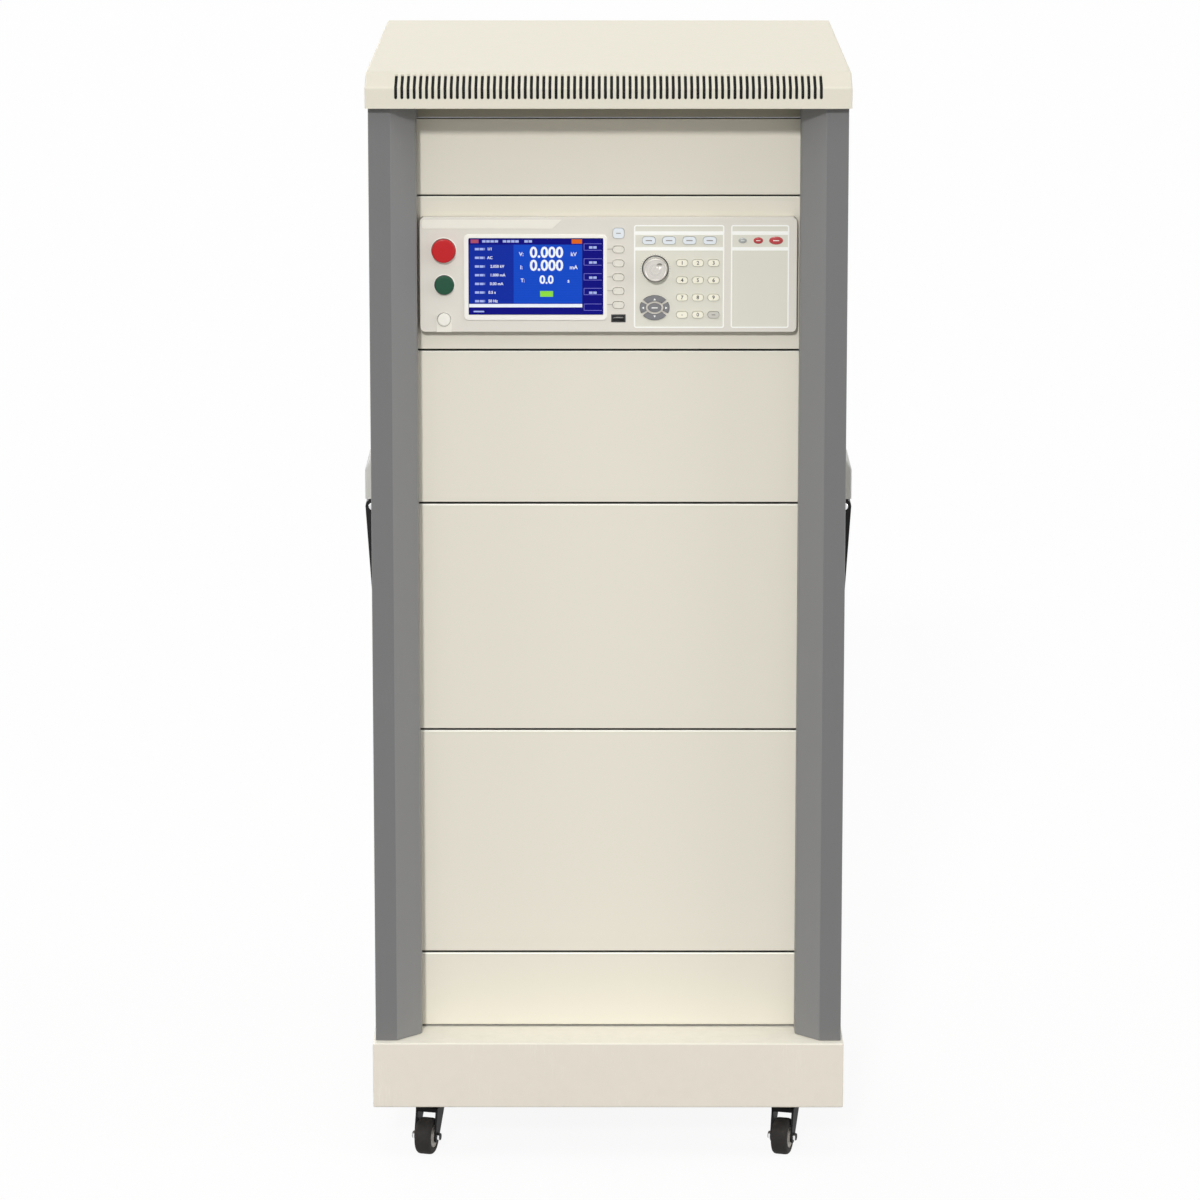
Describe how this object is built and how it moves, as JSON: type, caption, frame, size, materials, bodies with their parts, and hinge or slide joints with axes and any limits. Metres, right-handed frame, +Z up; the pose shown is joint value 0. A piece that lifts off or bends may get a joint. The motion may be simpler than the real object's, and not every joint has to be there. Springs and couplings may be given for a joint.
{
  "type": "rack-cabinet electrical safety tester",
  "caption": "Tall rack cabinet on swivel casters with a slotted hood, grey pillars, side handles and a rack instrument with a screen, push keys and a knob for electrical safety tests.",
  "frame": {"origin": "on the floor under the middle of the cabinet, where the wheels stand", "axes": "+Z up, -Y out of the front with the instrument, +X to the right of someone facing the front"},
  "size_m": [0.576, 0.65, 1.267],
  "materials": {
    "cream_panel": "fine powder coat, warm cream",
    "cream_trim": "fine powder coat, light cream",
    "grey_pillar": "satin grey powder coat",
    "zinc_frame": "zinc-plated sheet",
    "bezel_grey": "fine-grained light grey",
    "screen_glass": "lit blue display",
    "black_plastic": "fine-grained black",
    "red_button": "satin red",
    "green_button": "satin green",
    "white_key": "soft bluish white",
    "cream_key": "soft cream",
    "dark_key": "soft dark grey",
    "knob_metal": "turned, satin",
    "tyre_rubber": "worn dark rubber",
    "fork_black": "black enamel"
  },
  "bodies": {
    "cabinet": {"hood": "cream_trim", "base_plinth": "cream_trim", "rack_frame": "zinc_frame", "left_pillar": "grey_pillar", "right_pillar": "grey_pillar", "left_side_panel": "cream_panel", "right_side_panel": "cream_panel", "blank_panel_top": "cream_panel", "instrument_surround": "cream_panel", "blank_panel_upper": "cream_panel", "blank_panel_middle": "cream_panel", "blank_panel_lower": "cream_panel", "blank_panel_bottom": "cream_panel", "instrument_bezel": "bezel_grey", "display_screen": "screen_glass", "usb_port": "black_plastic", "instrument_case": "zinc_frame"},
    "stop_button": {"stop_button": "red_button"},
    "start_button": {"start_button": "green_button"},
    "power_button": {"power_button": "white_key"},
    "lock_key": {"lock_key": "white_key"},
    "soft_key_1": {"soft_key_1": "white_key"},
    "soft_key_2": {"soft_key_2": "white_key"},
    "soft_key_3": {"soft_key_3": "white_key"},
    "soft_key_4": {"soft_key_4": "white_key"},
    "soft_key_5": {"soft_key_5": "white_key"},
    "menu_key_1": {"menu_key_1": "white_key"},
    "menu_key_2": {"menu_key_2": "white_key"},
    "menu_key_3": {"menu_key_3": "white_key"},
    "menu_key_4": {"menu_key_4": "white_key"},
    "number_key_1": {"number_key_1": "cream_key"},
    "number_key_2": {"number_key_2": "cream_key"},
    "number_key_3": {"number_key_3": "cream_key"},
    "number_key_4": {"number_key_4": "cream_key"},
    "number_key_5": {"number_key_5": "cream_key"},
    "number_key_6": {"number_key_6": "cream_key"},
    "number_key_7": {"number_key_7": "cream_key"},
    "number_key_8": {"number_key_8": "cream_key"},
    "number_key_9": {"number_key_9": "cream_key"},
    "number_key_point": {"number_key_point": "cream_key"},
    "number_key_0": {"number_key_0": "cream_key"},
    "number_key_clear": {"number_key_clear": "cream_key"},
    "arrow_key_up": {"arrow_key_up": "dark_key"},
    "arrow_key_down": {"arrow_key_down": "dark_key"},
    "arrow_key_left": {"arrow_key_left": "dark_key"},
    "arrow_key_right": {"arrow_key_right": "dark_key"},
    "enter_key": {"enter_key": "dark_key"},
    "rotary_knob": {"rotary_knob": "knob_metal"},
    "caster_fork_front_left": {"caster_fork_front_left": "fork_black"},
    "caster_wheel_front_left": {"caster_wheel_front_left": "tyre_rubber"},
    "caster_fork_front_right": {"caster_fork_front_right": "fork_black"},
    "caster_wheel_front_right": {"caster_wheel_front_right": "tyre_rubber"},
    "caster_fork_rear_left": {"caster_fork_rear_left": "fork_black"},
    "caster_wheel_rear_left": {"caster_wheel_rear_left": "tyre_rubber"},
    "caster_fork_rear_right": {"caster_fork_rear_right": "fork_black"},
    "caster_wheel_rear_right": {"caster_wheel_rear_right": "tyre_rubber"},
    "left_handle_grip": {"left_handle_grip": "black_plastic"},
    "right_handle_grip": {"right_handle_grip": "black_plastic"},
    "rear_door": {"rear_door": "cream_panel"},
    "door_latch": {"door_latch": "black_plastic"}
  },
  "joints": [
    {"name": "stop_button_press", "type": "slide", "parent": "cabinet", "child": "stop_button", "axis": [0, 1, 0], "range_m": [0, 0.003], "stiffness_N_per_m": 300},
    {"name": "start_button_press", "type": "slide", "parent": "cabinet", "child": "start_button", "axis": [0, 1, 0], "range_m": [0, 0.003], "stiffness_N_per_m": 300},
    {"name": "power_button_press", "type": "slide", "parent": "cabinet", "child": "power_button", "axis": [0, 1, 0], "range_m": [0, 0.002], "stiffness_N_per_m": 300},
    {"name": "lock_key_press", "type": "slide", "parent": "cabinet", "child": "lock_key", "axis": [0, 1, 0], "range_m": [0, 0.0014], "stiffness_N_per_m": 200},
    {"name": "soft_key_1_press", "type": "slide", "parent": "cabinet", "child": "soft_key_1", "axis": [0, 1, 0], "range_m": [0, 0.0014], "stiffness_N_per_m": 200},
    {"name": "soft_key_2_press", "type": "slide", "parent": "cabinet", "child": "soft_key_2", "axis": [0, 1, 0], "range_m": [0, 0.0014], "stiffness_N_per_m": 200},
    {"name": "soft_key_3_press", "type": "slide", "parent": "cabinet", "child": "soft_key_3", "axis": [0, 1, 0], "range_m": [0, 0.0014], "stiffness_N_per_m": 200},
    {"name": "soft_key_4_press", "type": "slide", "parent": "cabinet", "child": "soft_key_4", "axis": [0, 1, 0], "range_m": [0, 0.0014], "stiffness_N_per_m": 200},
    {"name": "soft_key_5_press", "type": "slide", "parent": "cabinet", "child": "soft_key_5", "axis": [0, 1, 0], "range_m": [0, 0.0014], "stiffness_N_per_m": 200},
    {"name": "menu_key_1_press", "type": "slide", "parent": "cabinet", "child": "menu_key_1", "axis": [0, 1, 0], "range_m": [0, 0.0014], "stiffness_N_per_m": 200},
    {"name": "menu_key_2_press", "type": "slide", "parent": "cabinet", "child": "menu_key_2", "axis": [0, 1, 0], "range_m": [0, 0.0014], "stiffness_N_per_m": 200},
    {"name": "menu_key_3_press", "type": "slide", "parent": "cabinet", "child": "menu_key_3", "axis": [0, 1, 0], "range_m": [0, 0.0014], "stiffness_N_per_m": 200},
    {"name": "menu_key_4_press", "type": "slide", "parent": "cabinet", "child": "menu_key_4", "axis": [0, 1, 0], "range_m": [0, 0.0014], "stiffness_N_per_m": 200},
    {"name": "number_key_1_press", "type": "slide", "parent": "cabinet", "child": "number_key_1", "axis": [0, 1, 0], "range_m": [0, 0.0014], "stiffness_N_per_m": 200},
    {"name": "number_key_2_press", "type": "slide", "parent": "cabinet", "child": "number_key_2", "axis": [0, 1, 0], "range_m": [0, 0.0014], "stiffness_N_per_m": 200},
    {"name": "number_key_3_press", "type": "slide", "parent": "cabinet", "child": "number_key_3", "axis": [0, 1, 0], "range_m": [0, 0.0014], "stiffness_N_per_m": 200},
    {"name": "number_key_4_press", "type": "slide", "parent": "cabinet", "child": "number_key_4", "axis": [0, 1, 0], "range_m": [0, 0.0014], "stiffness_N_per_m": 200},
    {"name": "number_key_5_press", "type": "slide", "parent": "cabinet", "child": "number_key_5", "axis": [0, 1, 0], "range_m": [0, 0.0014], "stiffness_N_per_m": 200},
    {"name": "number_key_6_press", "type": "slide", "parent": "cabinet", "child": "number_key_6", "axis": [0, 1, 0], "range_m": [0, 0.0014], "stiffness_N_per_m": 200},
    {"name": "number_key_7_press", "type": "slide", "parent": "cabinet", "child": "number_key_7", "axis": [0, 1, 0], "range_m": [0, 0.0014], "stiffness_N_per_m": 200},
    {"name": "number_key_8_press", "type": "slide", "parent": "cabinet", "child": "number_key_8", "axis": [0, 1, 0], "range_m": [0, 0.0014], "stiffness_N_per_m": 200},
    {"name": "number_key_9_press", "type": "slide", "parent": "cabinet", "child": "number_key_9", "axis": [0, 1, 0], "range_m": [0, 0.0014], "stiffness_N_per_m": 200},
    {"name": "number_key_point_press", "type": "slide", "parent": "cabinet", "child": "number_key_point", "axis": [0, 1, 0], "range_m": [0, 0.0014], "stiffness_N_per_m": 200},
    {"name": "number_key_0_press", "type": "slide", "parent": "cabinet", "child": "number_key_0", "axis": [0, 1, 0], "range_m": [0, 0.0014], "stiffness_N_per_m": 200},
    {"name": "number_key_clear_press", "type": "slide", "parent": "cabinet", "child": "number_key_clear", "axis": [0, 1, 0], "range_m": [0, 0.0014], "stiffness_N_per_m": 200},
    {"name": "arrow_key_up_press", "type": "slide", "parent": "cabinet", "child": "arrow_key_up", "axis": [0, 1, 0], "range_m": [0, 0.0014], "stiffness_N_per_m": 200},
    {"name": "arrow_key_down_press", "type": "slide", "parent": "cabinet", "child": "arrow_key_down", "axis": [0, 1, 0], "range_m": [0, 0.0014], "stiffness_N_per_m": 200},
    {"name": "arrow_key_left_press", "type": "slide", "parent": "cabinet", "child": "arrow_key_left", "axis": [0, 1, 0], "range_m": [0, 0.0014], "stiffness_N_per_m": 200},
    {"name": "arrow_key_right_press", "type": "slide", "parent": "cabinet", "child": "arrow_key_right", "axis": [0, 1, 0], "range_m": [0, 0.0014], "stiffness_N_per_m": 200},
    {"name": "enter_key_press", "type": "slide", "parent": "cabinet", "child": "enter_key", "axis": [0, 1, 0], "range_m": [0, 0.0014], "stiffness_N_per_m": 200},
    {"name": "knob_turn", "type": "hinge", "parent": "cabinet", "child": "rotary_knob", "pos_m": [0.0534, -0.2643, 1.0401], "axis": [0, 1, 0], "continuous": true},
    {"name": "front_left_swivel", "type": "hinge", "parent": "cabinet", "child": "caster_fork_front_left", "pos_m": [-0.208, -0.277, 0.066], "axis": [0, 0, 1], "continuous": true},
    {"name": "front_left_roll", "type": "hinge", "parent": "caster_fork_front_left", "child": "caster_wheel_front_left", "pos_m": [-0.21213, -0.29142, 0.0215], "axis": [0.9613, -0.2756, 0], "continuous": true},
    {"name": "front_right_swivel", "type": "hinge", "parent": "cabinet", "child": "caster_fork_front_right", "pos_m": [0.208, -0.277, 0.066], "axis": [0, 0, 1], "continuous": true},
    {"name": "front_right_roll", "type": "hinge", "parent": "caster_fork_front_right", "child": "caster_wheel_front_right", "pos_m": [0.20386, -0.29142, 0.0215], "axis": [0.9613, -0.2756, 0], "continuous": true},
    {"name": "rear_left_swivel", "type": "hinge", "parent": "cabinet", "child": "caster_fork_rear_left", "pos_m": [-0.208, 0.277, 0.066], "axis": [0, 0, 1], "continuous": true},
    {"name": "rear_left_roll", "type": "hinge", "parent": "caster_fork_rear_left", "child": "caster_wheel_rear_left", "pos_m": [-0.21213, 0.26258, 0.0215], "axis": [0.9613, -0.2756, 0], "continuous": true},
    {"name": "rear_right_swivel", "type": "hinge", "parent": "cabinet", "child": "caster_fork_rear_right", "pos_m": [0.208, 0.277, 0.066], "axis": [0, 0, 1], "continuous": true},
    {"name": "rear_right_roll", "type": "hinge", "parent": "caster_fork_rear_right", "child": "caster_wheel_rear_right", "pos_m": [0.20386, 0.26258, 0.0215], "axis": [0.9613, -0.2756, 0], "continuous": true},
    {"name": "left_handle_fold", "type": "hinge", "parent": "cabinet", "child": "left_handle_grip", "pos_m": [-0.2795, 0, 0.7285], "axis": [0, 1, 0], "range_deg": [0, 90]},
    {"name": "right_handle_fold", "type": "hinge", "parent": "cabinet", "child": "right_handle_grip", "pos_m": [0.2795, 0, 0.7285], "axis": [0, -1, 0], "range_deg": [0, 90]},
    {"name": "rear_door_swing", "type": "hinge", "parent": "cabinet", "child": "rear_door", "pos_m": [-0.26, 0.3145, 0.686], "axis": [0, 0, 1], "range_deg": [0, 110]},
    {"name": "door_latch_turn", "type": "hinge", "parent": "rear_door", "child": "door_latch", "pos_m": [0.2355, 0.3185, 0.686], "axis": [0, 1, 0], "range_deg": [0, 90]}
  ]
}
